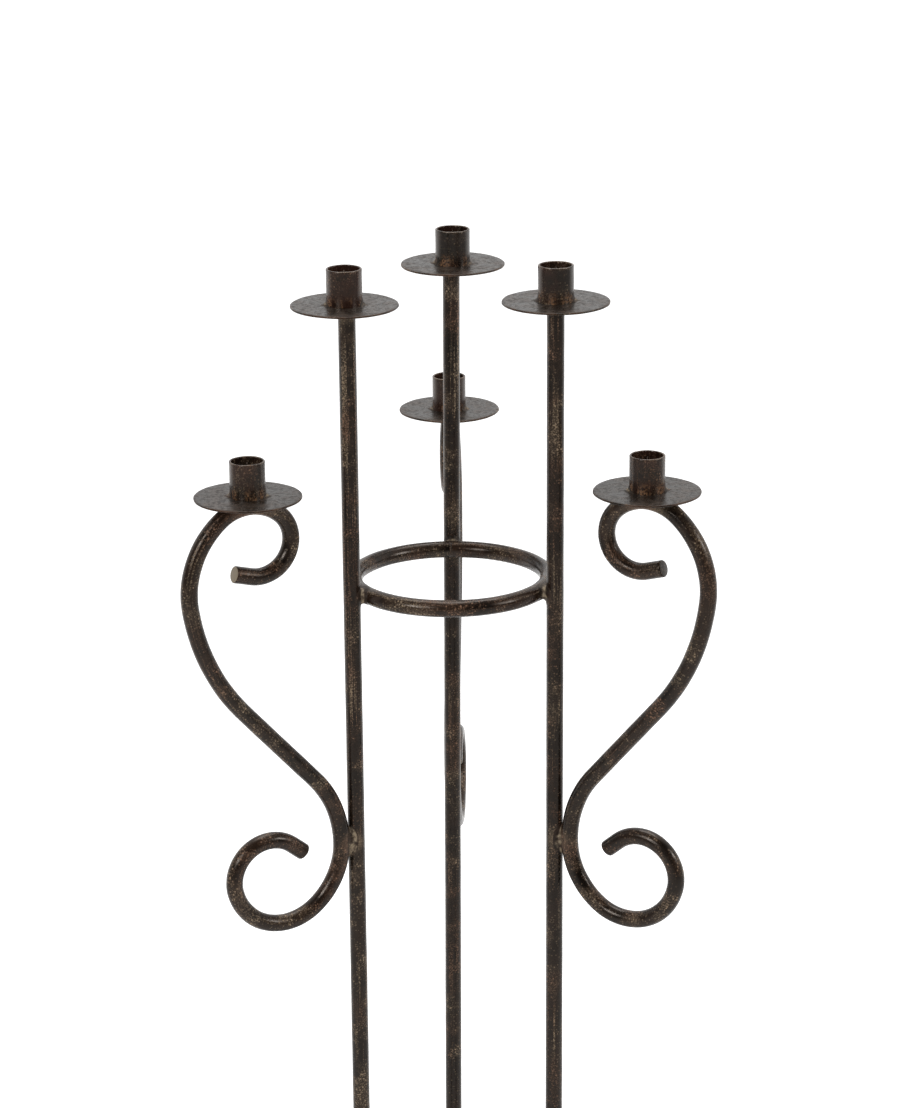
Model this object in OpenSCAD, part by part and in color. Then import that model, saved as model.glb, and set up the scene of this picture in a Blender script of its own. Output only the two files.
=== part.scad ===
// Floor candelabrum for six candles, welded from round iron bar.
// Three uprights stand at 120 degrees, one at the back and two in front, and carry a
// drip pan with a candle cup each. Two bent rings tie them together from inside.
// Three S-scroll arms are welded outside the uprights and carry the other three
// pans, and three larger scrolls under them are the feet.

/* [Bar stock] */
// Diameter of the round bar that every upright, ring and scroll is bent from
bar_d = 12.7; // [11.7:0.1:13]
// Gap that the weld metal fills where two bars meet
weld_gap = 0.3; // [0.2:0.1:1]

/* [Uprights and rings] */
// Radius of the circle that the three uprights stand on
post_r = 85.25; // [80:0.25:110]
// Height of the upper ring's centre line above the floor
ring_z = 900; // [800:10:1100]
// Height of the lower ring's centre line above the floor
low_ring_z = 110; // [90:5:160]
// Length of upright above the upper ring's centre line, up to the pan
post_rise = 219; // [160:1:260]
// Height of the uprights' lower ends above the floor
post_foot_z = 62; // [40:1:80]
// Bevel where a bar was cut and filed
end_bevel = 0.8; // [0.4:0.1:1.5]

/* [Arms] */
// Drop from the upper ring's centre line to the arms' welds
arm_drop = 191; // [150:1:230]

/* [Set by eye: hand-welded, so no two sides are alike] */
// Rear upright at the upper ring: mm out, mm aside, degrees of sideways lean
rear_set = [0, -2.3, 0.37]; // [-3:0.01:3]
// Left upright at the upper ring: mm out, mm aside, degrees of sideways lean
left_set = [0, 0.8, 0]; // [-3:0.01:3]
// Right upright at the upper ring: mm out, mm aside, degrees of sideways lean
right_set = [1.3, 1.2, -0.35]; // [-3:0.01:3]
// Rear arm: degrees tipped outwards, swung and rolled, then mm lifted
rear_arm = [0.9, -4, -0.75, -2.9]; // [-5:0.05:5]
// Left arm: degrees tipped outwards, swung and rolled, then mm lifted
left_arm = [0.4, -2.6, 0, 1.3]; // [-5:0.05:5]
// Right arm: degrees tipped outwards, swung and rolled, then mm lifted
right_arm = [-0.95, -1.2, 0, 0]; // [-5:0.05:5]
// Rear upright's pan: mm out and mm aside of the upright's end
rear_pan_off = [0, -1.2]; // [-2:0.05:2]
// Left upright's pan: mm out and mm aside of the upright's end
left_pan_off = [1.4, -0.5]; // [-2:0.05:2]
// Right upright's pan: mm out and mm aside of the upright's end
right_pan_off = [0.1, 0.1]; // [-2:0.05:2]

/* [Pans, cups and prickets] */
// Diameter of a drip pan
pan_d = 78.4; // [60:0.2:100]
// Thickness of a drip pan
pan_t = 1.5; // [1:0.1:3]
// Outside diameter of a candle cup
cup_d = 26; // [24:0.5:32]
// Inside diameter of a candle cup, for a 22 mm candle
cup_bore = 23; // [22:0.5:23]
// Height of a candle cup above its pan
cup_h = 26.5; // [20:0.5:40]
// Diameter of a pricket's shank
pricket_d = 3; // [2.4:0.2:4]
// Diameter of a pricket's foot, which drops through the hole in its pan
pricket_foot = 2.4; // [2:0.1:2.8]
// Length of a pricket's straight shank above the pan
pricket_shank = 17; // [12:1:18]
// Length of a pricket's point
pricket_point = 8; // [5:1:8]

/* [Hidden] */
$fn = 72;

// A bend is [radius, sweep]: a positive radius turns left, a negative one right, and
// a radius of 0 is a straight run whose second number is its length.
arm_rise = [[-82, 41.5], [0, 83.5], [162, 33.5], [68, 59.5], [37, 38.5]];
arm_curl = [[37, 40], [25.5, 156], [0, 14]];
arm_tail = [[57, 55], [41, 113], [29, 142], [0, 12.5]];
foot_fall = [[82, 46], [0, 105], [-162, 36], [-72, 56], [-40, 44]];
foot_curl = [[-40, 46], [-28, 154], [0, 14]];
foot_tail = [[-57, 55], [-41, 113], [-29, 142], [0, 12.5]];

bar_r = bar_d / 2;
ring_r = post_r - bar_d - weld_gap;
beside = bar_d + weld_gap;
arm_z = ring_z - arm_drop;
arm_top = walk([0, 0, 90], arm_rise);
foot_drop = walk([0, 0, -90], foot_fall);
foot_z = bar_r - foot_drop[1];
foot_reach = post_r + beside + foot_extreme() + bar_r;
post_pan_z = ring_z + post_rise;
// The stand's axis lies in front of the origin, which is the centre of the footprint's box.
axis_y = -(foot_reach - (foot_reach + bar_r) / 2) / 2;
joint = 0.25;
// A side is [direction, how its upright, its arm and its upright's pan are set].
rear = [90, rear_set, rear_arm, rear_pan_off];
left = [210, left_set, left_arm, left_pan_off];
right = [330, right_set, right_arm, right_pan_off];
sides = [rear, left, right];

iron = [0.20, 0.17, 0.15];
plate = [0.33, 0.31, 0.30];
cup_iron = [0.19, 0.15, 0.13];
bead = [0.36, 0.32, 0.26];

// ---- following a bent bar: a place is [across, up, heading] in the bar's own plane ----
function turn(p, s) =
    s[0] == 0 ? [p[0] + s[1] * cos(p[2]), p[1] + s[1] * sin(p[2]), p[2]]
    : let (h = p[2] + sign(s[0]) * s[1])
      [p[0] + s[0] * (sin(h) - sin(p[2])), p[1] - s[0] * (cos(h) - cos(p[2])), h];
function walk(p, segs, i = 0) =
    i == len(segs) ? p : walk(turn(p, segs[i]), segs, i + 1);
// The farthest point out is where the foot's bar runs straight down, at -90 degrees.
function foot_extreme() =
    let (q = walk([0, 0, -90], [foot_fall[0], foot_fall[1], foot_fall[2]]))
    turn(q, [foot_fall[3][0], 90 + q[2]])[0];

// ---- places on a side: [out from the stand's axis, aside, up] ----
function post_at(side, z) =
    [post_r + side[1][0], side[1][1] - (z - ring_z) * tan(side[1][2]), z];
function arm_weld_at(side) =
    let (z = arm_z + side[2][3]) post_at(side, z) + [beside, 0, 0];
function foot_weld_at(side) = post_at(side, foot_z) + [beside, 0, 0];
function tipped(v, a) = [v[0] * cos(a) + v[2] * sin(a), v[1], v[2] * cos(a) - v[0] * sin(a)];
function rolled(v, a) = [v[0], v[1] * cos(a) - v[2] * sin(a), v[1] * sin(a) + v[2] * cos(a)];
function swung(v, a) = [v[0] * cos(a) - v[1] * sin(a), v[0] * sin(a) + v[1] * cos(a), v[2]];
// The underside of a pan: the end of an upright, or the crown of an arm's curl
function upright_light(side) = post_at(side, post_pan_z) + [side[3][0], side[3][1], 0];
function arm_light(side) =
    let (a = side[2], crown = [arm_top[0], 0, arm_top[1]])
    arm_weld_at(side) + swung(rolled(tipped(crown, a[0]), a[2]), a[1]) + [0, 0, bar_r];

// Bends one length of bar. Each bend stops short of the next by a hair, and a sleeve
// a twentieth of a millimetre proud bridges the two, so that they join as one solid.
module bent_bar(start, segs) {
    for (i = [0:len(segs) - 1]) {
        r = segs[i][0];
        run = segs[i][1];
        at = walk(start, [for (k = [0:1:i - 1]) segs[k]]);
        cut = r == 0 ? joint : joint / abs(r) * 180 / PI;
        last = i == len(segs) - 1 ? 0 : cut;
        translate([at[0], at[1], 0]) rotate([0, 0, at[2]]) {
            if (r == 0)
                translate([cut, 0, 0]) rotate([0, 90, 0])
                    cylinder(d = bar_d, h = run - cut - last);
            else
                translate([0, r, 0]) rotate([0, 0, r > 0 ? cut - 90 : 90 - run + last])
                    rotate_extrude(angle = run - cut - last)
                        translate([abs(r), 0]) circle(d = bar_d);
            rotate([0, 90, 0]) cylinder(d = bar_d + 0.1, h = 4 * joint, center = true);
        }
    }
}

// Puts a child, drawn upright around its own axis, at a place on a side.
module spot(side, place) {
    translate([0, axis_y, 0]) rotate([0, 0, side[0]]) translate(place) children();
}

// Stands a bent bar, drawn in its own plane from its weld, upright at that place.
module stand_up(side, place, tip = 0, swing = 0, roll = 0) {
    spot(side, place) rotate([0, 0, swing]) rotate([roll, 0, 0]) rotate([0, tip, 0])
        rotate([90, 0, 0]) children();
}

// ---- bars ----
module upright(side) {
    color(iron) spot(side, post_at(side, post_foot_z)) rotate([side[1][2], 0, 0]) {
        cylinder(r1 = bar_r - end_bevel, r2 = bar_r, h = end_bevel);
        translate([0, 0, end_bevel])
            cylinder(r = bar_r, h = post_pan_z - post_foot_z - end_bevel);
    }
}

module tie_ring(z) {
    color(iron) translate([0, axis_y, z])
        rotate_extrude() translate([ring_r, 0]) circle(r = bar_r);
}

module arm_scroll(side) {
    a = side[2];
    color(iron) stand_up(side, arm_weld_at(side), a[0], a[1], a[2]) {
        bent_bar([0, 0, 90], concat(arm_rise, arm_curl));
        bent_bar([0, 0, -90], arm_tail);
    }
}

module foot_scroll(side) {
    color(iron) stand_up(side, foot_weld_at(side)) {
        bent_bar([0, 0, -90], concat(foot_fall, foot_curl));
        bent_bar([0, 0, 90], foot_tail);
    }
}

// ---- one light: pan, cup and pricket, level and plumb on the underside of its pan ----
module pan(side, place) {
    e = 0.4;
    hole_r = pricket_foot / 2;
    color(plate) spot(side, place) rotate_extrude() polygon([
        [hole_r, 0], [pan_d / 2 - e, 0], [pan_d / 2, e],
        [pan_d / 2, pan_t - e], [pan_d / 2 - e, pan_t], [hole_r, pan_t]
    ]);
}

module cup(side, place) {
    e = 0.35;
    color(cup_iron) spot(side, place + [0, 0, pan_t]) rotate_extrude() polygon([
        [cup_bore / 2, 0], [cup_d / 2, 0], [cup_d / 2, cup_h - e],
        [cup_d / 2 - e, cup_h], [cup_bore / 2 + e, cup_h], [cup_bore / 2, cup_h - e]
    ]);
}

module pricket(side, place) {
    color(iron) spot(side, place) {
        cylinder(d = pricket_foot, h = pan_t);
        translate([0, 0, pan_t]) cylinder(d = pricket_d, h = pricket_shank);
        translate([0, 0, pan_t + pricket_shank])
            cylinder(d1 = pricket_d, d2 = 0.8, h = pricket_point);
    }
}

// ---- welds: lumps of weld metal that run into the bars and pans they join ----
// Above and below a ring, in the corners between it and each upright
module ring_weld(z) {
    color(bead) for (side = sides, up = [-1, 1])
        spot(side, post_at(side, z) + [-(bar_d + weld_gap) / 2, 0, 3.6 * up])
            scale([0.8, 1.1, 1]) sphere(r = 3.5);
}

// Upright beads on both sides of the line where a scroll touches its upright
module scroll_weld(side, place) {
    for (aside = [-1, 1])
        spot(side, place + [-(bar_d + weld_gap) / 2, 3.4 * aside, 0])
            scale([0.75, 0.75, 2.1]) sphere(r = 4.4);
}

// A fillet around the top of an upright, under its pan
module pan_fillet(side) {
    leg = 1.4;
    spot(side, post_at(side, post_pan_z)) rotate_extrude()
        polygon([[bar_r, 0], [bar_r, -leg], [bar_r + leg, 0]]);
}

// Under an arm's pan, one bead on either flank of the scroll's crown
module crown_beads(side) {
    for (aside = [-1, 1])
        spot(side, arm_light(side) + [0, 4.6 * aside, -1.6])
            scale([2.2, 1, 0.75]) sphere(r = 2.8);
}

// Two small tacks at the foot of a cup, left and right of it
module cup_tacks(side, place) {
    for (aside = [-1, 1])
        difference() {
            spot(side, place + [0, 0, pan_t]) rotate([0, 0, -side[0]])
                translate([aside * (cup_d / 2 + 0.4), 0, 0]) cylinder(r1 = 2.6, r2 = 0.9, h = 5);
            spot(side, place) cylinder(d = cup_d, h = cup_h);
        }
}

// ---- the pieces ----
module upright_rear() { upright(rear); }
module upright_left() { upright(left); }
module upright_right() { upright(right); }
module tie_ring_upper() { tie_ring(ring_z); }
module tie_ring_lower() { tie_ring(low_ring_z); }
module arm_scroll_rear() { arm_scroll(rear); }
module arm_scroll_left() { arm_scroll(left); }
module arm_scroll_right() { arm_scroll(right); }
module foot_scroll_rear() { foot_scroll(rear); }
module foot_scroll_left() { foot_scroll(left); }
module foot_scroll_right() { foot_scroll(right); }
module upright_pan_rear() { pan(rear, upright_light(rear)); }
module upright_pan_left() { pan(left, upright_light(left)); }
module upright_pan_right() { pan(right, upright_light(right)); }
module arm_pan_rear() { pan(rear, arm_light(rear)); }
module arm_pan_left() { pan(left, arm_light(left)); }
module arm_pan_right() { pan(right, arm_light(right)); }
module upright_cup_rear() { cup(rear, upright_light(rear)); }
module upright_cup_left() { cup(left, upright_light(left)); }
module upright_cup_right() { cup(right, upright_light(right)); }
module arm_cup_rear() { cup(rear, arm_light(rear)); }
module arm_cup_left() { cup(left, arm_light(left)); }
module arm_cup_right() { cup(right, arm_light(right)); }
module upright_pricket_rear() { pricket(rear, upright_light(rear)); }
module upright_pricket_left() { pricket(left, upright_light(left)); }
module upright_pricket_right() { pricket(right, upright_light(right)); }
module arm_pricket_rear() { pricket(rear, arm_light(rear)); }
module arm_pricket_left() { pricket(left, arm_light(left)); }
module arm_pricket_right() { pricket(right, arm_light(right)); }
module upper_ring_welds() { ring_weld(ring_z); }
module lower_ring_welds() { ring_weld(low_ring_z); }
module arm_welds() { color(bead) for (side = sides) scroll_weld(side, arm_weld_at(side)); }
module foot_welds() { color(bead) for (side = sides) scroll_weld(side, foot_weld_at(side)); }
module upright_pan_welds() { color(bead) for (side = sides) pan_fillet(side); }
module arm_pan_welds() { color(bead) for (side = sides) crown_beads(side); }
module cup_tack_welds() {
    color(bead) for (side = sides) {
        cup_tacks(side, upright_light(side));
        cup_tacks(side, arm_light(side));
    }
}

upright_rear();
upright_left();
upright_right();
tie_ring_upper();
tie_ring_lower();
arm_scroll_rear();
arm_scroll_left();
arm_scroll_right();
foot_scroll_rear();
foot_scroll_left();
foot_scroll_right();
upright_pan_rear();
upright_pan_left();
upright_pan_right();
arm_pan_rear();
arm_pan_left();
arm_pan_right();
upright_cup_rear();
upright_cup_left();
upright_cup_right();
arm_cup_rear();
arm_cup_left();
arm_cup_right();
upright_pricket_rear();
upright_pricket_left();
upright_pricket_right();
arm_pricket_rear();
arm_pricket_left();
arm_pricket_right();
upper_ring_welds();
lower_ring_welds();
arm_welds();
foot_welds();
upright_pan_welds();
arm_pan_welds();
cup_tack_welds();
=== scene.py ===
"""Floor candelabrum for six candles, welded up from round iron bar, waxed nearly black and worn."""

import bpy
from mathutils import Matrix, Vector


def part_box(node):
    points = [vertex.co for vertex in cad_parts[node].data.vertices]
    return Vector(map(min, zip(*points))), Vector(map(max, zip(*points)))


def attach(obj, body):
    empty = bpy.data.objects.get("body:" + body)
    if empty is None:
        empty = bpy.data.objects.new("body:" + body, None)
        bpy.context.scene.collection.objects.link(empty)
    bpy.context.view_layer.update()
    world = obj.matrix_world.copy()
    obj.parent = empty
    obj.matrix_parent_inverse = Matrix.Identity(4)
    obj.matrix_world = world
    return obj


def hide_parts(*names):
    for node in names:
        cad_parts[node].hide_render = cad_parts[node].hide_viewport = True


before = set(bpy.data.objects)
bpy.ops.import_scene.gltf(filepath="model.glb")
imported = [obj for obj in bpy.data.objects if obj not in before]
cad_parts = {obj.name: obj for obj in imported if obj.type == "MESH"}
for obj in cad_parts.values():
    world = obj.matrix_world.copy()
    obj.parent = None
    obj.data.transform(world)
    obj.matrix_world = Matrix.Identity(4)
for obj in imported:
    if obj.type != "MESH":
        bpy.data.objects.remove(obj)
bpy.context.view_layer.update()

import math

import bmesh
import bpy
import numpy as np
from mathutils import Matrix, Vector, noise

# ---------------------------------------------------------------------------------------------
# Uprights. Three straight lengths of half-inch round iron bar, sawn off square and standing at 120
# degrees. They are hot-rolled stock, waxed over brown-black scale, with long worn streaks and
# fine rust pitting. The rings are welded inside them, and the scrolls outside.
# ---------------------------------------------------------------------------------------------
MM = 0.001
ring_low, ring_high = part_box("tie_ring_upper")
BAR = (ring_high[2] - ring_low[2]) / 2
STAND = Vector(((ring_low[0] + ring_high[0]) / 2, (ring_low[1] + ring_high[1]) / 2, 0))
RING = (ring_high[0] - ring_low[0]) / 2 - BAR
GAP = 0.3 * MM
BESIDE = 2 * BAR + GAP
POST = RING + BESIDE
UPPER = (ring_low[2] + ring_high[2]) / 2
LOWER = sum(corner[2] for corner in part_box("tie_ring_lower")) / 2
ARM_DROP = 191 * MM
ARM_Z = UPPER - ARM_DROP
FOOT_Z = sum(corner[2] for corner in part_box("foot_welds")) / 2
BAR_SIDES = 36
STEP = 2.5 * MM
NEAR_RING, NEAR_SCROLL, NEAR_CROWN, NEAR_PAN, NEAR_LEFT_PAN = 14, 18, 36, 12, 21


def standing(node):
    """The middle of a node's underside, its radius and its height."""
    low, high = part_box(node)
    return (Vector(((low[0] + high[0]) / 2, (low[1] + high[1]) / 2, low[2])),
            (high[0] - low[0]) / 2, high[2] - low[2])


def level_way(turn):
    """The level direction at so many degrees from X."""
    return Vector((math.cos(math.radians(turn)), math.sin(math.radians(turn)), 0))


class Side:
    """One side of the stand, and how it was set by eye when it was welded: its upright's
    mm out, mm aside and degrees of lean, its arm's degrees tipped, swung and rolled, and mm up."""

    def __init__(self, name, angle, post, arm):
        self.name, self.post, self.arm = name, post, arm
        self.turned = Matrix.Translation(STAND) @ Matrix.Rotation(math.radians(angle), 4, "Z")

    def post_at(self, up):
        out, aside, lean = self.post
        shift = (up - UPPER) * math.tan(math.radians(lean))
        return Vector((POST + out * MM, aside * MM - shift, up))

    def post_frame(self, up):
        return (self.turned @ Matrix.Translation(self.post_at(up))
                @ Matrix.Rotation(math.radians(self.post[2]), 4, "X"))

    def arm_frame(self):
        tip, swing, roll = (math.radians(v) for v in self.arm[:3])
        place = self.post_at(ARM_Z + self.arm[3] * MM) + Vector((BESIDE, 0, 0))
        return (self.turned @ Matrix.Translation(place) @ Matrix.Rotation(swing, 4, "Z")
                @ Matrix.Rotation(roll, 4, "X") @ Matrix.Rotation(tip, 4, "Y"))

    def foot_frame(self):
        return self.turned @ Matrix.Translation(self.post_at(FOOT_Z) + Vector((BESIDE, 0, 0)))


SIDES = (Side("rear", 90, (0, -2.3, 0.37), (0.9, -4, -0.75, -2.9)),
         Side("left", 210, (0, 0.8, 0), (0.4, -2.6, 0, 1.3)),
         Side("right", 330, (1.3, 1.2, -0.35), (-0.95, -1.2, 0, 0)))


# the wax is rubbed and burnt away for a way round each weld: (the place, how far)
RUBBED = []
for side in SIDES:
    for up in (UPPER, LOWER):
        RUBBED.append((side.turned @ (side.post_at(up) - Vector((BAR, 0, 0))), NEAR_RING * MM))
    RUBBED.append((side.arm_frame() @ Vector((-BAR, 0, 0)), NEAR_SCROLL * MM))
    RUBBED.append((side.foot_frame() @ Vector((-BAR, 0, 0)), NEAR_SCROLL * MM))
    under_pan = NEAR_LEFT_PAN if side.name == "left" else NEAR_PAN
    for kind, reach in (("upright", under_pan), ("arm", NEAR_CROWN)):
        RUBBED.append((standing(kind + "_pan_" + side.name)[0], reach * MM))


def rub(bm):
    """Marks each point of a placed bar with how near it is to a weld, from 0 to 1."""
    lay = bm.verts.layers.float.new("rubbed")
    for v in bm.verts:
        v[lay] = max(0.0, max(1 - (v.co - place).length / reach for place, reach in RUBBED))


class Bar:
    """A bar being bent in its own upright plane, outward along X: it starts as one ring of
    points and is drawn out run by run.

    Every point keeps where it lay on the bar while that was straight, in metres: how far along,
    and its two places across. Streaks and pits follow that, so they run round the bends.
    """

    outward, aside = Vector((1, 0, 0)), Vector((0, -1, 0))

    def __init__(self, along):
        self.bm = bmesh.new()
        self.lay = self.bm.verts.layers.float_vector.new("straight")
        self.place, self.heading, self.along, self.sense = Vector(), math.radians(90), along, 1
        made = bmesh.ops.create_circle(self.bm, segments=BAR_SIDES, radius=BAR)["verts"]
        for v in made:
            v[self.lay] = (along, v.co.x, v.co.y)
        section = Matrix((self.side(), self.aside, self.forward())).transposed().to_4x4()
        bmesh.ops.transform(self.bm, matrix=section, verts=made)
        self.loop = made + list(self.bm.edges)

    def forward(self):
        return self.outward * math.cos(self.heading) + Vector((0, 0, math.sin(self.heading)))

    def side(self):
        return Vector((0, 0, math.cos(self.heading))) - self.outward * math.sin(self.heading)

    def step_on(self, made, run):
        self.along += run * self.sense
        self.loop = made
        for v in made:
            if isinstance(v, bmesh.types.BMVert):
                v[self.lay] = (self.along, v[self.lay].y, v[self.lay].z)

    def run(self, length):
        steps = max(1, round(length / STEP))
        for _ in range(steps):
            edges = [e for e in self.loop if isinstance(e, bmesh.types.BMEdge)]
            made = bmesh.ops.extrude_edge_only(self.bm, edges=edges)["geom"]
            made = [g for g in made if not isinstance(g, bmesh.types.BMFace)]
            bmesh.ops.translate(self.bm, vec=self.forward() * length / steps,
                                verts=[g for g in made if isinstance(g, bmesh.types.BMVert)])
            self.step_on(made, length / steps)
        self.place = self.place + self.forward() * length

    def bend(self, radius, sweep):
        """A positive radius turns left, seen with outward to the right and up upwards."""
        turn = math.radians(sweep) * (1 if radius > 0 else -1)
        centre = self.place + self.side() * radius
        steps = max(2, round(abs(radius) * abs(turn) / STEP))
        for _ in range(steps):
            made = bmesh.ops.spin(self.bm, geom=self.loop, cent=centre, axis=self.aside,
                                  dvec=(0, 0, 0), angle=turn / steps, steps=1)["geom_last"]
            self.step_on(made, abs(radius * turn) / steps)
        spin = Matrix.Rotation(turn, 3, self.aside)
        self.place = centre + spin @ (self.place - centre)
        self.heading += turn

    def follow(self, bends):
        for radius, amount in bends:
            if radius:
                self.bend(radius * MM, amount)
            else:
                self.run(amount * MM)

    def cut_end(self, bevel):
        """Closes the open end with a filed edge round a bare sawn face."""
        edges = [e for e in self.loop if isinstance(e, bmesh.types.BMEdge)]
        cap = bmesh.ops.edgeloop_fill(self.bm, edges=edges)["faces"]
        for f in cap:
            f.material_index = 1
        bmesh.ops.bevel(self.bm, geom=edges, offset=bevel, segments=3, profile=0.5,
                        affect="EDGES", material=-1)


def uneven(bm, lay, amount, size, seed):
    """Rolls the slight unevenness of hot-rolled stock into a bar or a sheet."""
    bm.normal_update()
    for v in bm.verts:
        where = (Vector(v[lay]) if lay else v.co) / size + Vector((seed * 7.3, seed * 1.9, 0))
        v.co += v.normal * amount * noise.noise(where)


def finish_piece(bm, name, materials, node, sharp=35):
    """Makes the mesh an object that stands for its CAD node and rides on the stand."""
    for e in bm.edges:
        e.smooth = len(e.link_faces) < 2 or e.calc_face_angle(0) < math.radians(sharp)
    for f in bm.faces:
        f.smooth = True
    mesh = bpy.data.meshes.new(name)
    bm.to_mesh(mesh)
    bm.free()
    piece = bpy.data.objects.new(name, mesh)
    bpy.context.scene.collection.objects.link(piece)
    for m in materials:
        mesh.materials.append(m)
    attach(piece, "root")
    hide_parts(node)
    return piece


class Tree:
    """Short ways to add and join shader nodes."""

    def __init__(self, tree):
        self.tree = tree

    def add(self, kind, settings=None, **inputs):
        n = self.tree.nodes.new("ShaderNode" + kind)
        for key, value in (settings or {}).items():
            setattr(n, key, value)
        for key, value in inputs.items():
            self.give(n.inputs[key.replace("_", " ")], value)
        return n

    def give(self, socket, value):
        if isinstance(value, bpy.types.NodeSocket):
            self.tree.links.new(value, socket)
        else:
            socket.default_value = value

    def maths(self, operation, *values, clamp=False):
        n = self.add("Math", {"operation": operation, "use_clamp": clamp})
        for socket, value in zip(n.inputs, values):
            self.give(socket, value)
        return n.outputs[0]

    def scaled(self, vector, by):
        n = self.add("VectorMath", {"operation": "MULTIPLY"})
        self.give(n.inputs[0], vector)
        self.give(n.inputs[1], by)
        return n.outputs[0]

    def noise(self, vector, scale, detail=3.0, rough=0.55):
        return self.add("TexNoise", Vector=vector, Scale=scale, Detail=detail,
                        Roughness=rough).outputs["Fac"]

    def between(self, value, low, high, to_low=0.0, to_high=1.0):
        n = self.add("MapRange", {"interpolation_type": "SMOOTHSTEP"}, Value=value)
        for key, v in (("From Min", low), ("From Max", high),
                       ("To Min", to_low), ("To Max", to_high)):
            self.give(n.inputs[key], v)
        return n.outputs["Result"]

    def mix(self, factor, a, b):
        n = self.add("Mix", {"data_type": "RGBA"})
        self.give(n.inputs[0], factor)
        self.give(n.inputs[6], a)
        self.give(n.inputs[7], b)
        return n.outputs[2]


def build_worn_iron():
    """Brown-black waxed scale, worn through to tan in streaks and specks, as colour,
    roughness and height. Where holds metres, with the bar's length along X."""
    group = bpy.data.node_groups.new("worn_iron", "ShaderNodeTree")
    face = group.interface
    face.new_socket("Where", in_out="INPUT", socket_type="NodeSocketVector")
    for name, colour in (("Scale Colour", (0.0058, 0.0041, 0.0031, 1)),
                         ("Brown Colour", (0.027, 0.0145, 0.0090, 1)),
                         ("Worn Colour", (0.290, 0.210, 0.135, 1)),
                         ("Rust Colour", (0.200, 0.098, 0.058, 1))):
        face.new_socket(name, in_out="INPUT", socket_type="NodeSocketColor").default_value = colour
    for name, value in (("Streaks", 0.5), ("Specks", 0.5), ("Brown", 0.5), ("Gloss", 0.4),
                        ("Rubbed", 0.0)):
        face.new_socket(name, in_out="INPUT", socket_type="NodeSocketFloat").default_value = value
    face.new_socket("Colour", in_out="OUTPUT", socket_type="NodeSocketColor")
    face.new_socket("Roughness", in_out="OUTPUT", socket_type="NodeSocketFloat")
    face.new_socket("Height", in_out="OUTPUT", socket_type="NodeSocketFloat")
    t = Tree(group)
    source = group.nodes.new("NodeGroupInput").outputs
    result = group.nodes.new("NodeGroupOutput").inputs
    where = source["Where"]
    patches = t.noise(where, 26, 3)
    clouds = t.noise(where, 130, 4, 0.6)
    # brown shows through the black scale in soft clouds
    brown = t.maths("MULTIPLY", t.between(t.maths("ADD", t.maths("MULTIPLY", patches, 0.6),
                    t.maths("MULTIPLY", clouds, 0.4)), 0.38, 0.62), source["Brown"])
    colour = t.mix(brown, source["Scale Colour"], source["Brown Colour"])
    # fine grains of worn wax: in long bands along the bar, in crowds, and thick round the welds
    rubbed = t.between(source["Rubbed"], 0.25, 0.75)
    grain = t.between(t.noise(where, 800, 3, 0.75), 0.50, 0.60)
    band = t.between(t.noise(t.scaled(where, (0.02, 1, 1)), 340, 3), 0.53, 0.59)
    stretch = t.between(t.noise(t.scaled(where, (0.35, 1, 1)), 24, 2), 0.43, 0.60)
    band = t.maths("MULTIPLY", t.maths("MULTIPLY", band, stretch), source["Streaks"])
    crowd = t.maths("MULTIPLY", t.between(t.noise(where, 55, 3), 0.46, 0.68), source["Specks"])
    thick = t.maths("MAXIMUM", t.maths("MAXIMUM", band, t.maths("MULTIPLY", crowd, 0.7)),
                    t.maths("MULTIPLY", rubbed, 0.9))
    worn = t.maths("MULTIPLY", thick, t.maths("ADD", t.maths("MULTIPLY", grain, 0.85), 0.10))
    # and lone round pits of rust
    cells = t.add("TexVoronoi", Vector=where, Scale=520, Randomness=1.0)
    lone = t.between(t.add("SeparateColor", Color=cells.outputs["Color"]).outputs[0], 0.58, 0.64)
    dots = t.maths("MULTIPLY", t.between(cells.outputs["Distance"], 0.42, 0.20), lone)
    everywhere = t.maths("MULTIPLY", source["Specks"], 0.28)
    dots = t.maths("MULTIPLY", dots, t.maths("ADD", crowd, everywhere))
    worn = t.maths("ADD", t.maths("ADD", worn, dots), t.maths("MULTIPLY", rubbed, 0.36), clamp=True)
    rust = t.between(t.noise(where, 17, 2), 0.44, 0.58)
    tone = t.mix(t.maths("MULTIPLY", rust, 0.8), source["Worn Colour"], source["Rust Colour"])
    colour = t.mix(worn, colour, tone)
    t.give(result["Colour"], colour)
    t.give(result["Roughness"], t.maths("ADD", t.maths("ADD", source["Gloss"],
           t.maths("MULTIPLY", t.maths("SUBTRACT", clouds, 0.5), 0.30)),
           t.maths("MULTIPLY", worn, 0.30), clamp=True))
    fine = t.maths("MULTIPLY", t.noise(where, 520, 4, 0.6), 0.25)
    t.give(result["Height"], t.maths("ADD", t.maths("ADD", fine, t.maths("MULTIPLY", clouds, 0.7)),
           t.maths("MULTIPLY", worn, 0.5)))
    return group


WORN_IRON = build_worn_iron()


def warm_sheen(shader, level=0.33):
    """Old wax: a weaker reflection than bare lacquer, and a little warm."""
    shader.inputs["Specular IOR Level"].default_value = level
    shader.inputs["Specular Tint"].default_value = (1.0, 0.88, 0.78, 1)


def new_finish(name):
    """A new material, the short ways into its nodes, and its shader."""
    material = bpy.data.materials.new(name)
    material.use_nodes = True
    return material, Tree(material.node_tree), material.node_tree.nodes["Principled BSDF"]


def roughen(t, shader, height, depth):
    """Bumps a surface by a height, as deep as depth in metres."""
    bump = t.add("Bump", Height=height, Distance=depth, Strength=1.0)
    t.give(shader.inputs["Normal"], bump.outputs["Normal"])


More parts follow.
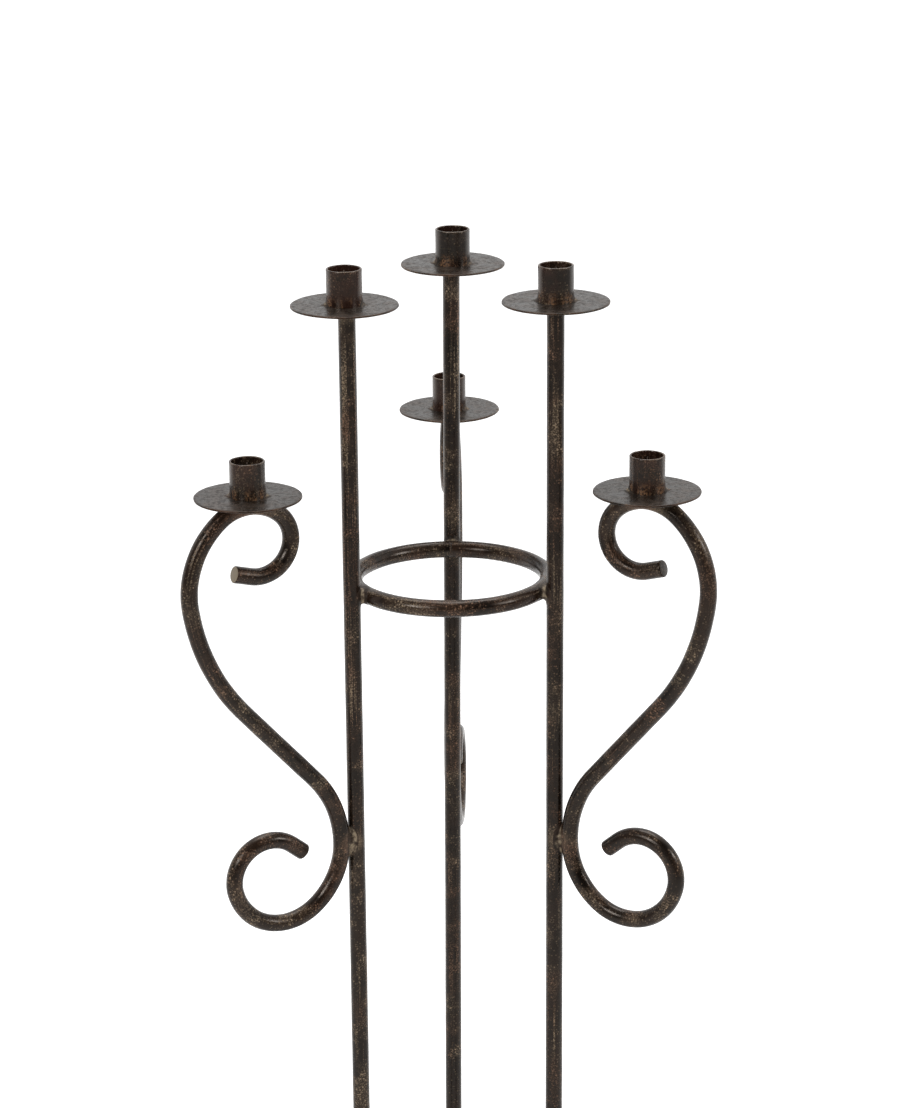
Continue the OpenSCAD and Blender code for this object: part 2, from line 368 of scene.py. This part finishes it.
def iron(name, along_bar, depth=0.00015, **amounts):
    """A waxed iron finish with its own amounts of streaks, specks and brown."""
    material, t, shader = new_finish(name)
    if along_bar:
        where = t.add("Attribute", {"attribute_name": "straight"}).outputs["Vector"]
        amounts["Rubbed"] = t.add("Attribute", {"attribute_name": "rubbed"}).outputs["Fac"]
    else:
        where = t.add("TexCoord").outputs["Object"]
    worn = t.add("Group", {"node_tree": WORN_IRON}, Where=where, **amounts)
    t.give(shader.inputs["Base Color"], worn.outputs["Colour"])
    t.give(shader.inputs["Roughness"], worn.outputs["Roughness"])
    warm_sheen(shader)
    roughen(t, shader, worn.outputs["Height"], depth)
    return material


upright_iron = iron("upright_iron", True, Streaks=1.25, Specks=0.8, Brown=0.55, Gloss=0.25)
cut_iron = iron("cut_iron", False, Scale_Colour=(0.20, 0.165, 0.115, 1),
                Brown_Colour=(0.26, 0.215, 0.155, 1), Streaks=0.0, Specks=0.3, Gloss=0.5)

for number, side in enumerate(SIDES):
    low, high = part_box("upright_" + side.name)
    bar = Bar(number * 1.7)
    first = bar.loop
    bar.run(high[2] - low[2] - 0.05 * MM)
    last, bar.loop = bar.loop, first
    bar.cut_end(0.8 * MM)
    bar.loop = last
    bar.cut_end(0.05 * MM)
    uneven(bar.bm, bar.lay, 0.10 * MM, 0.018, number)
    bmesh.ops.recalc_face_normals(bar.bm, faces=bar.bm.faces)
    bar.bm.transform(side.post_frame(low[2] + 0.04 * MM))
    rub(bar.bm)
    finish_piece(bar.bm, "upright_bar_" + side.name, [upright_iron, cut_iron],
                 "upright_" + side.name)

# ---------------------------------------------------------------------------------------------
# Tie rings. The same bar bent full circle and closed with a butt weld at the back. The upper
# one holds the uprights apart near the top, and the lower one just above the feet.
# ---------------------------------------------------------------------------------------------
ring_iron = iron("ring_iron", True, Streaks=0.8, Specks=0.8, Brown=1.0, Gloss=0.22)

for number, node in enumerate(("tie_ring_upper", "tie_ring_lower")):
    low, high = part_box(node)
    bar_start = 5.2 + number
    bm = bmesh.new()
    lay = bm.verts.layers.float_vector.new("straight")
    made = bmesh.ops.create_circle(bm, segments=BAR_SIDES, radius=BAR)["verts"]
    for v in made:
        v[lay] = (bar_start, v.co.x, v.co.y)
    # the bar's section stands upright in the plane x = 0, behind the stand's axis
    stand_up = Matrix(((0, 0, 1), (1, 0, 0), (0, 1, 0))).to_4x4()
    centre = STAND + Vector((0, 0, (low[2] + high[2]) / 2))
    bmesh.ops.transform(bm, verts=made,
                        matrix=Matrix.Translation(centre + Vector((0, RING, 0))) @ stand_up)
    loop = made + list(bm.edges)
    steps = round(math.tau * RING / STEP)
    for step in range(1, steps):
        loop = bmesh.ops.spin(bm, geom=loop, cent=centre, axis=(0, 0, 1), dvec=(0, 0, 0),
                              angle=math.tau / steps, steps=1)["geom_last"]
        for v in loop:
            if isinstance(v, bmesh.types.BMVert):
                v[lay] = (bar_start + step * math.tau * RING / steps, v[lay].y, v[lay].z)
    ends = [e for e in bm.edges if len(e.link_faces) == 1]
    bmesh.ops.bridge_loops(bm, edges=ends)
    uneven(bm, lay, 0.12 * MM, 0.016, 5 + number)
    bmesh.ops.recalc_face_normals(bm, faces=bm.faces)
    rub(bm)
    finish_piece(bm, node.replace("tie_ring", "ring_bar"), [ring_iron], node)

# ---------------------------------------------------------------------------------------------
# Arms and feet. Each is one bar bent into an S on a jig: the arm rises from its weld, swings
# out and curls back over under its pan, and its tail curls up below. The foot is the same
# thing upside down and larger, with its curl on the floor.
# ---------------------------------------------------------------------------------------------
CROWN = 37 * MM
ARM_RISE = ((-82, 41.5), (0, 83.5), (162, 33.5), (68, 59.5), (37, 78.5), (25.5, 156), (0, 14))
ARM_TAIL = ((57, 55), (41, 113), (29, 142), (0, 12.5))
FOOT_FALL = ((82, 46), (0, 105), (-162, 36), (-72, 56), (-40, 90), (-28, 154), (0, 14))
FOOT_TAIL = ((-57, 55), (-41, 113), (-29, 142), (0, 12.5))

scroll_iron = iron("scroll_iron", True, Streaks=0.7, Specks=1.0, Brown=0.75, Gloss=0.25)


def scroll(kind, side, place, rising, falling, number):
    """One S-scroll, drawn from its weld upwards and then from its weld downwards."""
    bar = Bar(10 + number * 1.3)
    weld = bar.place.copy(), bar.along, bar.loop
    bar.follow(rising)
    bar.cut_end(1.0 * MM)
    bar.place, bar.along, bar.loop = weld
    bar.heading, bar.sense = math.radians(-90), -1
    bar.follow(falling)
    bar.cut_end(1.2 * MM)
    uneven(bar.bm, bar.lay, 0.12 * MM, 0.017, 20 + number)
    bmesh.ops.recalc_face_normals(bar.bm, faces=bar.bm.faces)
    bar.bm.transform(place)
    rub(bar.bm)
    # the right side's ends have been waxed over like the rest
    end_iron = scroll_iron if side.name == "right" else cut_iron
    finish_piece(bar.bm, kind + "_bar_" + side.name, [scroll_iron, end_iron],
                 kind + "_scroll_" + side.name)


for number, side in enumerate(SIDES):
    scroll("arm", side, side.arm_frame(), ARM_RISE, ARM_TAIL, number)
    scroll("foot", side, side.foot_frame(), FOOT_TAIL, FOOT_FALL, number + 3)

# ---------------------------------------------------------------------------------------------
# Drip pans. Discs cut from 1.5 mm steel sheet, filed round and left a little out of flat, with
# a punched hole for the spike. Each is welded to the end of an upright or the crown of an arm.
# The wax on top has gone grey and is finely scratched. The rim is darker iron all round, partly
# painted shade along the edge, and worn brown in patches.
# ---------------------------------------------------------------------------------------------
def build_wax_marks():
    """Fine scratches every way, smears and dull spots, on a sheet lying flat."""
    group = bpy.data.node_groups.new("wax_marks", "ShaderNodeTree")
    face = group.interface
    face.new_socket("Where", in_out="INPUT", socket_type="NodeSocketVector")
    for name in ("Scratches", "Smears", "Spots"):
        face.new_socket(name, in_out="OUTPUT", socket_type="NodeSocketFloat")
    t = Tree(group)
    where = group.nodes.new("NodeGroupInput").outputs["Where"]
    result = group.nodes.new("NodeGroupOutput").inputs
    lines = 0.0
    for turn, scale in ((0.4, 1500), (1.7, 1900), (2.6, 1300)):
        turned = t.add("VectorRotate", {"rotation_type": "Z_AXIS"}, Vector=where, Angle=turn)
        long_way = t.scaled(turned.outputs["Vector"], (0.035, 1, 1))
        line = t.between(t.noise(long_way, scale, 2), 0.60, 0.70)
        near = t.between(t.noise(turned.outputs["Vector"], 60 + 20 * turn, 2), 0.48, 0.62)
        lines = t.maths("MAXIMUM", lines, t.maths("MULTIPLY", line, near))
    t.give(result["Scratches"], lines)
    t.give(result["Smears"], t.noise(where, 75, 4, 0.6))
    t.give(result["Spots"], t.between(t.noise(where, 420, 3, 0.65), 0.60, 0.72))
    return group


def pan_finish():
    material, t, shader = new_finish("pan_plate")
    where = t.add("TexCoord").outputs["Object"]
    marks = t.add("Group", {"node_tree": build_wax_marks()}, Where=where)
    iron_look = t.add("Group", {"node_tree": WORN_IRON}, Where=where, Streaks=0.0, Specks=0.55,
                      Brown=0.9, Gloss=0.30)
    rim = t.add("Attribute", {"attribute_name": "rim"}).outputs["Fac"]
    smears, scratches, spots = (marks.outputs[k] for k in ("Smears", "Scratches", "Spots"))
    grey = t.mix(t.between(smears, 0.40, 0.62),
                 (0.012, 0.0085, 0.0065, 1), (0.042, 0.030, 0.023, 1))
    blotches = t.between(t.noise(where, 330, 4, 0.7), 0.47, 0.58)
    grey = t.mix(t.maths("MULTIPLY", blotches, 0.8), grey, (0.007, 0.0050, 0.0038, 1))
    grey = t.mix(t.maths("MULTIPLY", scratches, 0.35), grey, (0.16, 0.13, 0.105, 1))
    grey = t.mix(t.maths("MULTIPLY", spots, 0.5), grey, (0.020, 0.014, 0.010, 1))
    # the rim band and the edge take the darker iron colour all round: partly the edge's own iron,
    # partly painted shade along the edge
    colour = t.mix(t.between(rim, 0.25, 0.9), grey, iron_look.outputs["Colour"])
    edge = t.maths("MULTIPLY", t.between(rim, 0.55, 1.0), t.between(smears, 0.42, 0.60))
    colour = t.mix(t.maths("MULTIPLY", edge, 0.28), colour, (0.12, 0.060, 0.034, 1))
    t.give(shader.inputs["Base Color"], colour)
    warm_sheen(shader, 0.27)
    rough = t.between(smears, 0.36, 0.66, 0.20, 0.34)
    rough = t.maths("ADD", rough, t.maths("MULTIPLY", t.maths("ADD", spots, scratches), 0.12))
    rough = t.maths("ADD", rough, t.maths("MULTIPLY", blotches, 0.16))
    t.give(shader.inputs["Roughness"], rough)
    height = t.maths("ADD", t.maths("MULTIPLY", iron_look.outputs["Height"], 0.55),
                     t.maths("MULTIPLY", scratches, -0.25))
    roughen(t, shader, height, 0.00024)
    return material


def turned_piece(profile, centre, steps, marked=None):
    """Spins a profile of (out, up) points, in metres, about an upright axis. A piece whose
    profile is a closed loop comes out as a ring, and marked gives each point's rim value."""
    bm = bmesh.new()
    lay = bm.verts.layers.float.new("rim")
    points = []
    for n, (out, up) in enumerate(profile):
        v = bm.verts.new(centre + Vector((out, 0, up)))
        v[lay] = marked[n] if marked else 0.0
        points.append(v)
    edges = [bm.edges.new(pair) for pair in zip(points, points[1:] + points[:1])]
    bmesh.ops.spin(bm, geom=points + edges, cent=centre, axis=(0, 0, 1), dvec=(0, 0, 0),
                   angle=math.tau, steps=steps, use_merge=True)
    bmesh.ops.remove_doubles(bm, verts=bm.verts, dist=1e-7)
    bmesh.ops.recalc_face_normals(bm, faces=bm.faces)
    return bm


pan_plate = pan_finish()
SPIKE_FOOT = 1.2 * MM
LIGHTS = [(kind, side.name) for kind in ("upright", "arm") for side in SIDES]

for number, (kind, side) in enumerate(LIGHTS):
    node = kind + "_pan_" + side
    middle, radius, thick = standing(node)
    hole = SPIKE_FOOT
    soft = thick * 0.42
    rings = [hole + (radius - soft - hole) * k / 18 for k in range(19)]
    edge = [(radius - soft + soft * math.sin(math.radians(a)), thick / 2 + (thick / 2 - 0.02 * MM)
             * math.cos(math.radians(a))) for a in range(15, 180, 15)]
    profile = [(r, thick) for r in rings] + edge + [(r, 0) for r in reversed(rings)]
    marked = [max(0.0, (r / radius - 0.93) / 0.07) for r, _ in profile]
    for k, (r, up) in enumerate(edge):
        marked[len(rings) + k] = 1.0
    bm = turned_piece(profile, middle, 144, marked)
    # the sheet is a little out of flat and its snipped edge a little out of round
    for v in bm.verts:
        flat = v.co - middle
        flat.z = 0
        reach = flat.length / radius
        way = flat.normalized() if flat.length else Vector()
        v.co.z += 0.30 * MM * reach ** 3 * noise.noise(way * 1.3 + Vector((number * 3.1, 0, 0)))
        v.co += way * reach ** 6 * 0.22 * MM * (noise.noise(way * 5 + Vector((0, number, 0))) - 0.8)
    finish_piece(bm, "drip_pan_" + kind + "_" + side, [pan_plate], node)

# ---------------------------------------------------------------------------------------------
# Candle cups. Short ends of 26 mm steel tube, sawn square, broken at the edge with a file and
# tacked to the pan. Dark red-brown outside, lighter in patches at the rim from rubbing and a
# painted highlight, rusty low down and inside.
# ---------------------------------------------------------------------------------------------
def cup_finish():
    material, t, shader = new_finish("cup_tube")
    where = t.add("TexCoord").outputs["Object"]
    upright_way = t.scaled(where, (1, 1, 0.25))
    axes = t.add("SeparateXYZ", Vector=where)
    up_first = t.add("CombineXYZ", X=axes.outputs["Z"], Y=axes.outputs["X"], Z=axes.outputs["Y"])
    worn = t.add("Group", {"node_tree": WORN_IRON}, Where=up_first.outputs["Vector"], Streaks=0.35,
                 Specks=0.45, Brown=1.0, Gloss=0.23, Brown_Colour=(0.026, 0.0105, 0.0068, 1))
    rim = t.add("Attribute", {"attribute_name": "rim"}).outputs["Fac"]
    patch = t.noise(upright_way, 120, 4, 0.6)
    foot = t.between(rim, -0.15, -0.95)
    rust = t.maths("MULTIPLY", t.between(patch, 0.44, 0.60), foot)
    rust = t.maths("MULTIPLY", rust, t.between(t.noise(where, 650, 3), 0.40, 0.60))
    colour = t.mix(t.maths("MULTIPLY", rust, 0.9), worn.outputs["Colour"],
                   (0.270, 0.140, 0.070, 1))
    # the lip is lightened in patches along the top of the rim: rubbed wear, and a painted highlight
    # on the rim
    lip = t.maths("MULTIPLY", t.between(rim, 0.965, 0.995), t.between(patch, 0.42, 0.56))
    colour = t.mix(t.maths("MULTIPLY", lip, 0.45), colour, (0.17, 0.125, 0.085, 1))
    t.give(shader.inputs["Base Color"], colour)
    warm_sheen(shader, 0.48)
    t.give(shader.inputs["Roughness"], t.maths("ADD", worn.outputs["Roughness"],
           t.maths("MULTIPLY", rust, 0.25), clamp=True))
    roughen(t, shader, worn.outputs["Height"], 0.00018)
    return material


cup_tube = cup_finish()
WALL = 1.5 * MM

for number, (kind, side) in enumerate(LIGHTS):
    node = kind + "_cup_" + side
    middle, radius, tall = standing(node)
    lip = WALL / 2
    levels = [tall * k / 16 for k in range(17)]
    levels[-1] = tall - lip * 0.8
    round_lip = [(radius - lip + lip * math.cos(math.radians(a)),
                  tall - lip * 0.8 + lip * 0.8 * math.sin(math.radians(a)))
                 for a in range(18, 180, 18)]
    outside = [(radius, up) for up in levels]
    inside = [(radius - WALL, up) for up in reversed(levels)]
    profile = outside + round_lip + inside
    marked = ([up / tall * 2 - 1 for _, up in outside[:-1]] + [0.98] + [1.0] * len(round_lip)
              + [0.98] + [up / tall * 2 - 1 for _, up in inside[1:]])
    bm = turned_piece(profile, middle, 96, marked)
    for v in bm.verts:
        around = v.co - middle
        way = Vector((around.x, around.y, 0)).normalized()
        shift = Vector((number * 5.7, 0, around.z / (9 * MM)))
        v.co += way * 0.10 * MM * (noise.noise(way * 1.6 + shift) - 0.6)
        v.co.z -= 0.18 * MM * (around.z / tall) ** 4 * (noise.noise(way * 1.2 - shift) + 0.6)
    finish_piece(bm, "candle_cup_" + kind + "_" + side, [cup_tube], node)

# ---------------------------------------------------------------------------------------------
# Prickets. A 3 mm steel spike stands in the middle of each cup, ground to a point that the
# candle is pushed down on.
# ---------------------------------------------------------------------------------------------
pricket_steel = iron("pricket_steel", False, depth=0.0001, Streaks=0.2, Specks=0.5, Brown=0.6,
                     Gloss=0.38, Scale_Colour=(0.045, 0.036, 0.030, 1))

for kind, side in LIGHTS:
    node = kind + "_pricket_" + side
    middle, radius, tall = standing(node)
    point = 8 * MM
    tip = 0.4 * MM
    foot = 1.5 * MM
    profile = ([(SPIKE_FOOT, 0), (SPIKE_FOOT, foot)]
               + [(radius, foot + (tall - point - foot) * k / 6) for k in range(7)]
               + [(radius + (tip - radius) * k / 6, tall - point + (point - tip) * k / 6)
                  for k in range(1, 7)]
               + [(tip * math.cos(math.radians(a)), tall - tip + tip * math.sin(math.radians(a)))
                  for a in (30, 60)])
    bm = bmesh.new()
    points = [bm.verts.new(middle + Vector((out, 0, up))) for out, up in profile]
    points.append(bm.verts.new(middle + Vector((0, 0, tall))))
    points.insert(0, bm.verts.new(middle))
    edges = [bm.edges.new(pair) for pair in zip(points, points[1:])]
    bmesh.ops.spin(bm, geom=points + edges, cent=middle, axis=(0, 0, 1), dvec=(0, 0, 0),
                   angle=math.tau, steps=28, use_merge=True)
    bmesh.ops.remove_doubles(bm, verts=bm.verts, dist=1e-7)
    bmesh.ops.recalc_face_normals(bm, faces=bm.faces)
    finish_piece(bm, "candle_spike_" + kind + "_" + side, [pricket_steel], node)

# ---------------------------------------------------------------------------------------------
# Welds. Lumps of arc-weld metal left as they set, run into the corners between two bars or
# between a cup and its pan. Each is drawn out from the middle of its joint until it meets the
# skin that blends the two surfaces, so it feathers onto both. Bare tan-grey, with slag pits.
# ---------------------------------------------------------------------------------------------
def weld_finish():
    material, t, shader = new_finish("weld_metal")
    where = t.add("TexCoord").outputs["Object"]
    worn = t.add("Group", {"node_tree": WORN_IRON}, Where=where, Streaks=0.0, Specks=0.6,
                 Brown=1.0, Gloss=0.42)
    bare = t.add("Attribute", {"attribute_name": "bare"}).outputs["Fac"]
    lumps = t.noise(where, 330, 4, 0.6)
    tan = t.mix(t.between(lumps, 0.36, 0.62), (0.080, 0.056, 0.038, 1), (0.330, 0.260, 0.175, 1))
    shown = t.maths("MULTIPLY", t.between(bare, 0.15, 0.75),
                    t.between(t.noise(where, 160, 3), 0.34, 0.54))
    colour = t.mix(shown, worn.outputs["Colour"], tan)
    t.give(shader.inputs["Base Color"], colour)
    t.give(shader.inputs["Roughness"], t.between(lumps, 0.3, 0.7, 0.40, 0.62))
    warm_sheen(shader)
    roughen(t, shader, lumps, 0.00035)
    return material


weld_metal = weld_finish()


def seen_from(place, p):
    """Points in the coordinates of a placed bar."""
    back = np.array(place.inverted())
    return p @ back[:3, :3].T + back[:3, 3]


def post_skin(side):
    """How far points stand off one upright's surface."""
    place = side.post_frame(UPPER)

    def skin(p):
        q = seen_from(place, p)
        return np.hypot(q[:, 0], q[:, 1]) - BAR
    return skin


def ring_skin(up):
    return lambda p: np.hypot(np.hypot(p[:, 0] - STAND.x, p[:, 1] - STAND.y) - RING,
                              p[:, 2] - up) - BAR


def bend_skin(place, above, below):
    """A scroll's surface beside its weld, where it bends away at one radius above and another
    below."""
    def skin(p):
        q = seen_from(place, p)
        radius = np.where(q[:, 2] > 0, above, below) * MM
        off = np.abs(np.hypot(q[:, 0] - radius, q[:, 2]) - radius)
        return np.hypot(off, q[:, 1]) - BAR
    return skin


def weld(bm, centre, skins, reach, fill, lump, shape, seed):
    """One weld: a ball whose points move out until they leave the blended skin of the pieces.
    The shape, if any, turns and squeezes it."""
    bare = bm.verts.layers.float["bare"]
    fineness = 5 if reach > 9 * MM else 4
    ball = bmesh.ops.create_icosphere(bm, subdivisions=fineness, radius=1)["verts"]
    ways = np.array([v.co[:] for v in ball])
    if shape:
        ways = ways @ np.array(shape.to_3x3()).T
    middle = np.array(centre[:])
    rough = np.array([noise.noise(v.co * 2.2 + Vector((seed * 3.7, 0, 0))) * 0.6
                      + noise.noise(v.co * 5.5 + Vector((0, seed * 2.3, 0))) * 0.4 for v in ball])
    far = np.full(len(ball), reach)
    proud = np.zeros(len(ball))
    found = np.zeros(len(ball), bool)
    for step in range(1, 81):
        out = reach * step / 80
        p = middle + ways * out
        fade = max(0.0, 1 - (out / reach) ** 2)
        one, two = (skin(p) for skin in skins)
        k = fill * fade + 1e-6
        h = np.clip(0.5 + 0.5 * (two - one) / k, 0, 1)
        blend = two * (1 - h) + one * h - k * h * (1 - h)
        leaves = (blend + 0.12 * MM - fade * lump * (0.7 + rough) > 0) & ~found
        far[leaves] = out
        proud[leaves] = np.minimum(one, two)[leaves]
        found |= leaves
    for v, way, out, height in zip(ball, ways, far, proud):
        v.co = Vector(middle + way * out)
        v[bare] = min(1.0, max(0.0, float(height) / (0.9 * MM))) * min(1.0, 0.4 + lump / (3 * MM))


def weld_piece(name, node, places):
    """One piece for a set of welds. Each place is (centre, skins, reach, fill, lump, shape)."""
    bm = bmesh.new()
    bm.verts.layers.float.new("bare")
    for seed, place in enumerate(places):
        weld(bm, *place, seed + len(name))
    bmesh.ops.recalc_face_normals(bm, faces=bm.faces)
    finish_piece(bm, name, [weld_metal], node, sharp=80)


for level, up in (("upper", UPPER), ("lower", LOWER)):
    weld_piece(level + "_ring_beads", level + "_ring_welds",
               [(side.turned @ (side.post_at(up) - Vector((BESIDE / 2, 0, 0))),
                 (post_skin(side), ring_skin(up)), 10 * MM, 7 * MM, 0.9 * MM, None)
                for side in SIDES])

middle = Vector((-BESIDE / 2, 0, 0))
UPRIGHT_BEAD = Matrix.Diagonal((0.46, 0.70, 1.0, 1.0))
weld_piece("arm_beads", "arm_welds",
           [(side.arm_frame() @ middle, (post_skin(side), bend_skin(side.arm_frame(), 82, 57)),
             14 * MM, 5 * MM, lump * MM, side.turned @ UPRIGHT_BEAD)
            for side, lump in zip(SIDES, (1.0, 2.0, 1.1))])
weld_piece("foot_beads", "foot_welds",
           [(side.foot_frame() @ middle, (post_skin(side), bend_skin(side.foot_frame(), 57, 82)),
             14 * MM, 5 * MM, 0.9 * MM, side.turned @ UPRIGHT_BEAD) for side in SIDES])


def level_skin(up, below=False):
    """A pan's top, or its underside."""
    return lambda p: (up - p[:, 2]) if below else (p[:, 2] - up)


def cup_skin(centre, radius):
    return lambda p: np.hypot(p[:, 0] - centre.x, p[:, 1] - centre.y) - radius


tacks = []
for number, (kind, side) in enumerate(LIGHTS):
    middle, radius, _ = standing(kind + "_cup_" + side)
    for turn in (-14 + 9 * (number % 3), 170 + 13 * (number % 2)):
        tacks.append((middle + level_way(turn) * radius,
                      (cup_skin(middle, radius), level_skin(middle.z)),
                      6.5 * MM, 5.5 * MM, 0.25 * MM, None))
weld_piece("cup_tacks", "cup_tack_welds", tacks)

under = []
for side in SIDES:
    up = standing("upright_pan_" + side.name)[0].z
    for turn in (40, 160, 280):
        under.append((side.turned @ (side.post_at(up) + level_way(turn) * BAR),
                      (post_skin(side), level_skin(up, True)), 5 * MM, 3.2 * MM, 0.15 * MM, None))
weld_piece("upright_pan_beads", "upright_pan_welds", under)

crown = []
for side in SIDES:
    middle = standing("arm_pan_" + side.name)[0]
    place = side.arm_frame()
    top = place.inverted() @ (middle - Vector((0, 0, BAR)))

    def crown_skin(p, place=place, top=top):
        q = seen_from(place, p)
        bent = np.hypot(q[:, 0] - top.x, q[:, 2] - top.z + CROWN) - CROWN
        return np.hypot(bent, q[:, 1]) - BAR
    crown.append((middle, (crown_skin, level_skin(middle.z, True)),
                  12 * MM, 7 * MM, 0.4 * MM, None))
weld_piece("arm_pan_beads", "arm_pan_welds", crown)

# ---------------------------------------------------------------------------------------------
# The room. A white floor that runs back out of sight and glows as painted light, faintly in front
# and strongly behind the stand, a pale sky of soft white light, and two large soft lamps in
# front and one above. The camera stands at eye height in front of the stand and looks a little
# down at its upper half.
# ---------------------------------------------------------------------------------------------
bm = bmesh.new()
bmesh.ops.create_grid(bm, x_segments=1, y_segments=1, size=30)
floor_mesh = bpy.data.meshes.new("studio_floor")
bm.to_mesh(floor_mesh)
bm.free()
floor = bpy.data.objects.new("studio_floor", floor_mesh)
bpy.context.scene.collection.objects.link(floor)
white, t, shader = new_finish("white_floor")
speckle = t.noise(t.add("TexCoord").outputs["Object"], 40, 2)
t.give(shader.inputs["Base Color"], t.mix(speckle, (0.74, 0.74, 0.74, 1), (0.77, 0.77, 0.77, 1)))
shader.inputs["Roughness"].default_value = 0.9
shader.inputs["Specular IOR Level"].default_value = 0.1
shader.inputs["Emission Color"].default_value = (1, 1, 1, 1)
# painted light: the floor glows, faintly in front of the stand and strongly behind it, so the
# backdrop there comes out white
back = t.add("SeparateXYZ", Vector=t.add("TexCoord").outputs["Object"]).outputs["Y"]
t.give(shader.inputs["Emission Strength"], t.between(back, 0, 1.6, 0.06, 0.80))
floor_mesh.materials.append(white)

world = bpy.data.worlds.new("studio")
bpy.context.scene.world = world
world.use_nodes = True
t = Tree(world.node_tree)
sky = world.node_tree.nodes["Background"]
way = t.add("SeparateXYZ", Vector=t.add("TexCoord").outputs["Generated"])
behind = t.between(way.outputs["Y"], -0.35, 0.35, 0.05, 1.0)
t.give(sky.inputs["Color"], t.mix(behind, (0.0, 0.0, 0.0, 1), (1, 1, 1, 1)))
sky.inputs["Strength"].default_value = 1.0

for name, place, size, watts in (("left_softbox", (-1.6, -2.0, 2.2), 1.0, 38),
                                 ("right_softbox", (2.3, -1.0, 2.1), 0.9, 28),
                                 ("top_softbox", (0.1, 0.6, 3.2), 1.8, 36)):
    lamp = bpy.data.lights.new(name, "AREA")
    lamp.shape, lamp.size, lamp.energy = "DISK", size, watts
    lamp_object = bpy.data.objects.new(name, lamp)
    lamp_object.location = place
    lamp_object.visible_camera = False
    aim = Vector((0, STAND.y, 0.9)) - Vector(place)
    lamp_object.rotation_euler = aim.to_track_quat("-Z", "Y").to_euler()
    bpy.context.scene.collection.objects.link(lamp_object)

camera = bpy.data.cameras.new("camera")
camera.sensor_width = 36
camera.lens = 113.9
camera_object = bpy.data.objects.new("camera", camera)
bpy.context.scene.collection.objects.link(camera_object)
bpy.context.scene.camera = camera_object
EYE, BACK, PITCH, ROLL, YAW = 0.801, 2.485, 17.47, -0.57, 0.87
pitch, roll = math.radians(PITCH), math.radians(ROLL)
forward = Vector((0, math.cos(pitch), -math.sin(pitch)))
upward = Vector((0, math.sin(pitch), math.cos(pitch)))
right = Vector((1, 0, 0))
across = right * math.cos(roll) + upward * math.sin(roll)
upward = upward * math.cos(roll) - right * math.sin(roll)
turn = Matrix.Rotation(math.radians(-YAW), 3, "Z")
stand = STAND + Vector((0, 0, UPPER))
place = stand + turn @ Vector((-0.6 * MM, -BACK, EYE))
look = Matrix((turn @ across, turn @ upward, turn @ -forward)).transposed().to_4x4()
camera_object.matrix_world = Matrix.Translation(place) @ look

bpy.context.scene.view_settings.view_transform = "Standard"
